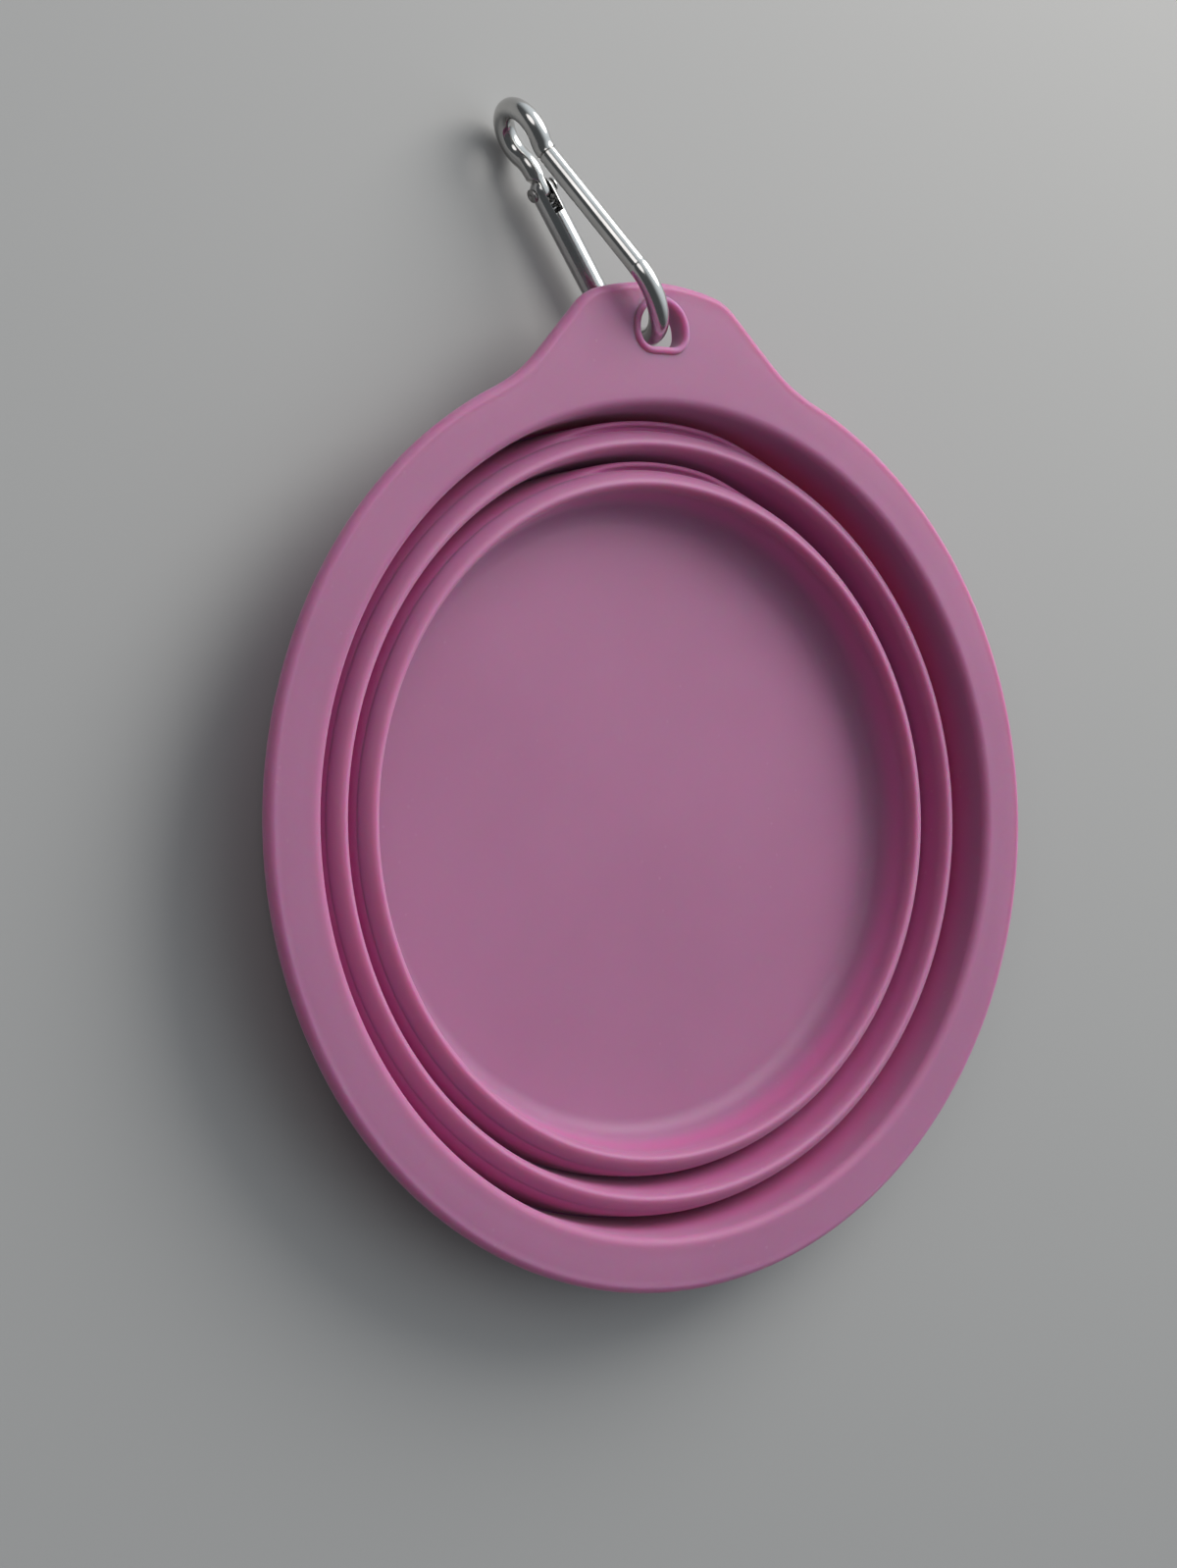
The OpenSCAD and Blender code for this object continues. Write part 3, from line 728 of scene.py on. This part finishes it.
framePiece = growRings("clipWire", [section(*spot) for spot in wirePath()], capped=True)
placeClip(framePiece)
smoothFaces(framePiece, 50)
dress(framePiece, platedWire, "plated_wire", "clip_frame")
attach(framePiece, "clip")


def sideRings(spots):
    # rings round the gate side's line, one for each (distance along it, radius)
    return [section(onSide(along), sideOut, radius, radius, 2, gate["facets"]) for along, radius in spots]


def sideBox(name, fromAlong, toAlong, fromOut, toOut):
    deselectAll()
    bpy.ops.mesh.primitive_cube_add(size=1)
    box = bpy.context.object
    box.name = name
    bpy.ops.object.mode_set(mode="EDIT")
    bpy.ops.mesh.select_all(action="SELECT")
    size = ((toAlong - fromAlong) * mm, (toOut - fromOut) * mm, gate["slotT"] * mm)
    bpy.ops.transform.resize(value=size, center_override=(0, 0, 0))
    bpy.ops.transform.translate(value=((fromAlong + toAlong) / 2 * mm, (fromOut + toOut) / 2 * mm, 0))
    bpy.ops.object.mode_set(mode="OBJECT")
    box.data.transform(Matrix(((sideWay.x, sideOut.x, 0, sideEnd.x * mm),
                               (sideWay.y, sideOut.y, 0, sideEnd.y * mm), (0, 0, 1, 0), (0, 0, 0, 1))))
    return box


def makeGate():
    r, end, clear, boreR, wide = gate["r"], gate["l"], gate["clear"], gate["boreR"], 2 * gate["r"]
    outer = [(gate["noseClear"] + along, r - drop) for along, drop in gate["lip"]]
    outer += linePoints((0, r), (end, r), 8)[1:-1]
    outer += [(end + r * math.sin(degrees(a)), r * math.cos(degrees(a))) for a in range(0, 82, 9)]
    piece = growRings("gateTube", sideRings(outer), capped=True)
    cutAway(piece, growRings("bore", sideRings([(gate["boreFrom"], boreR), (end - 1, boreR)]), capped=True))
    cutAway(piece, sideBox("noseSlot", -1, gate["noseL"] + clear, -gate["tongueW"] - gate["play"], wide))
    cutAway(piece, sideBox("tongueSlot", end - r - clear, end + wide, -wide, wide))
    cutAway(piece, sideBox("window", end - gate["window"], end + wide, -wide, 0))
    softenEdges(piece, gate["soft"], 2, 40)
    return piece


gatePiece = makeGate()
placeClip(gatePiece)
smoothFaces(gatePiece, 35)
dress(gatePiece, platedGate, "plated_wire", "clip_gate")
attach(gatePiece, "gate")

rivet = {"r": 0.6, "headR": 1.0, "headH": 0.4, "dimple": 0.22, "latchR": 0.45, "latchAt": 1.7, "facets": 40}


def makePin(name, at, half, waist):
    # half is the profile of one end, from its middle outward and down, and waist lies between the ends
    centre = onSide(at)
    rings = turned(half + waist + [(r, -z) for r, z in half[::-1]], rivet["facets"])
    moved = [[(centre.x + x, centre.y + y, z) for x, y, z in ring] for ring in rings]
    return growRings(name, moved, capped=True)


def makeRivet():
    seat, top, big, dimple = gate["r"] - 0.02, gate["r"] + rivet["headH"], rivet["headR"], rivet["dimple"]
    half = [(0.05, top - dimple), (0.22, top - dimple * 0.9), (0.38, top - 0.05), (0.5, top),
            (0.72, top - 0.03), (big - 0.1, top - 0.12), (big, top - 0.25), (big, seat)]
    return makePin("hingeRivet", gate["l"], half, [(rivet["r"], seat), (rivet["r"], -seat)])


def makeLatch():
    r, end = rivet["latchR"], math.sqrt(gate["r"] ** 2 - rivet["latchR"] ** 2)
    half = [(0.05, end), (r - 0.1, end - 0.01), (r - 0.02, end - 0.07), (r, end - 0.16)]
    return makePin("latchPin", rivet["latchAt"], half, [(r, 0)])


for piece, node in ((makeRivet(), "gate_rivet"), (makeLatch(), "latch_pin")):
    placeClip(piece)
    smoothFaces(piece, 40)
    dress(piece, platedRivet, "plated_rivet", node)
    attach(piece, "gate")

spring = {"from": 4.45, "to": 15.25, "pitch": 0.76, "coilR": 0.8, "wireR": 0.15, "perTurn": 20, "facets": 10}


def makeSpring():
    coilR, length = spring["coilR"], spring["to"] - spring["from"]
    turns = length / spring["pitch"]
    count, rings = int(turns * spring["perTurn"]), []
    for i in range(count + 1):
        angle = turn * turns * i / count
        out = Vector((0, math.cos(angle), math.sin(angle)))
        way = Vector((spring["pitch"] / turn, -coilR * out.z, coilR * out.y)).normalized()
        wide = way.cross(out)
        centre = Vector((spring["from"] + length * i / count, 0, 0)) + out * coilR
        ring = []
        for k in range(spring["facets"]):
            a = turn * k / spring["facets"]
            p = centre + (out * math.cos(a) + wide * math.sin(a)) * spring["wireR"]
            flat = onSide(p.x, p.y)
            ring.append((flat.x, flat.y, p.z))
        rings.append(ring)
    return growRings("springCoil", rings, capped=True)


springPiece = makeSpring()
placeClip(springPiece)
smoothFaces(springPiece, 60)
dress(springPiece, drawnSpring, "spring_wire", "gate_spring")
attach(springPiece, "gate")
print("clip ready")


# Floor, lights and camera

room = {"floorSize": 6, "floorDrop": 0.02, "floor": (0.36, 0.356, 0.352), "floorRough": 0.55,
        "floorShine": 0.25,
        "key": (0.33, 0.37, 0.35), "keySize": 0.46, "keyPower": 2.8, "keyColour": (1.0, 0.97, 0.93),
        "fill": (-0.45, 0.22, 0.5), "fillSize": 0.4, "fillPower": 0.6, "fillColour": (1.0, 0.97, 0.97),
        "sky": (0.88, 0.95, 1.0), "worldFrom": (0.64, 0.56, 0.53), "worldSpan": (0.05, 0.95),
        "worldLight": (0.09, 1.05)}
deselectAll()
bpy.ops.mesh.primitive_plane_add(size=room["floorSize"], location=(0, 0, -room["floorDrop"] * mm))
floor = bpy.context.object
floor.name = "floor"
floorPaint = bpy.data.materials.new("floorPaint")
floorPaint.use_nodes = True
floorShader = floorPaint.node_tree.nodes["Principled BSDF"]
floorShader.inputs["Base Color"].default_value = (*room["floor"], 1)
floorShader.inputs["Roughness"].default_value = room["floorRough"]
floorShader.inputs["Specular IOR Level"].default_value = room["floorShine"]
floor.data.materials.append(floorPaint)


def addArea(name, spot, size, power, colour):
    lamp = bpy.data.lights.new(name, "AREA")
    lamp.shape, lamp.size, lamp.energy, lamp.color = "DISK", size, power, colour
    holder = bpy.data.objects.new(name, lamp)
    bpy.context.scene.collection.objects.link(holder)
    holder.location = spot
    holder.rotation_mode = "QUATERNION"
    holder.rotation_quaternion = (-Vector(spot)).to_track_quat("-Z", "Y")


addArea("windowLight", room["key"], room["keySize"], room["keyPower"], room["keyColour"])
addArea("fillLight", room["fill"], room["fillSize"], room["fillPower"], room["fillColour"])

world = bpy.data.worlds.new("softRoom")
bpy.context.scene.world = world
world.use_nodes = True
tree = world.node_tree
sky = tree.nodes["Background"]                      # one side of the room is bright, the other dim
sky.inputs["Color"].default_value = (*room["sky"], 1)
heading = addNode(tree, "ShaderNodeTexCoord", -900, 0)
facing = addNode(tree, "ShaderNodeVectorMath", -700, 0, operation="DOT_PRODUCT")
facing.inputs[1].default_value = room["worldFrom"]
feed(tree, heading.outputs["Generated"], facing.inputs[0])
glow = ramp(tree, -500, 0, facing.outputs["Value"], room["worldSpan"], room["worldLight"], "SMOOTHSTEP")
feed(tree, glow, sky.inputs["Strength"])

view = {"spot": (-182.6174, 10.5168, 250.0338), "right": (0.816085, -0.0619628, 0.5746006),
        "up": (0.059817, 0.9979521, 0.0226595), "back": (-0.574828, 0.0158788, 0.8181202), "lens": 49.342,
        "sensor": 36, "near": 0.01, "far": 20}
camera = bpy.data.cameras.new("photoCamera")
camera.lens, camera.sensor_width = view["lens"], view["sensor"]
camera.clip_start, camera.clip_end = view["near"], view["far"]
cameraHolder = bpy.data.objects.new("photoCamera", camera)
bpy.context.scene.collection.objects.link(cameraHolder)
rows = [(view["right"][i], view["up"][i], view["back"][i], view["spot"][i] * mm) for i in range(3)]
cameraHolder.matrix_world = Matrix([*rows, (0, 0, 0, 1)])
bpy.context.scene.camera = cameraHolder
bpy.context.scene.view_settings.view_transform = "Standard"
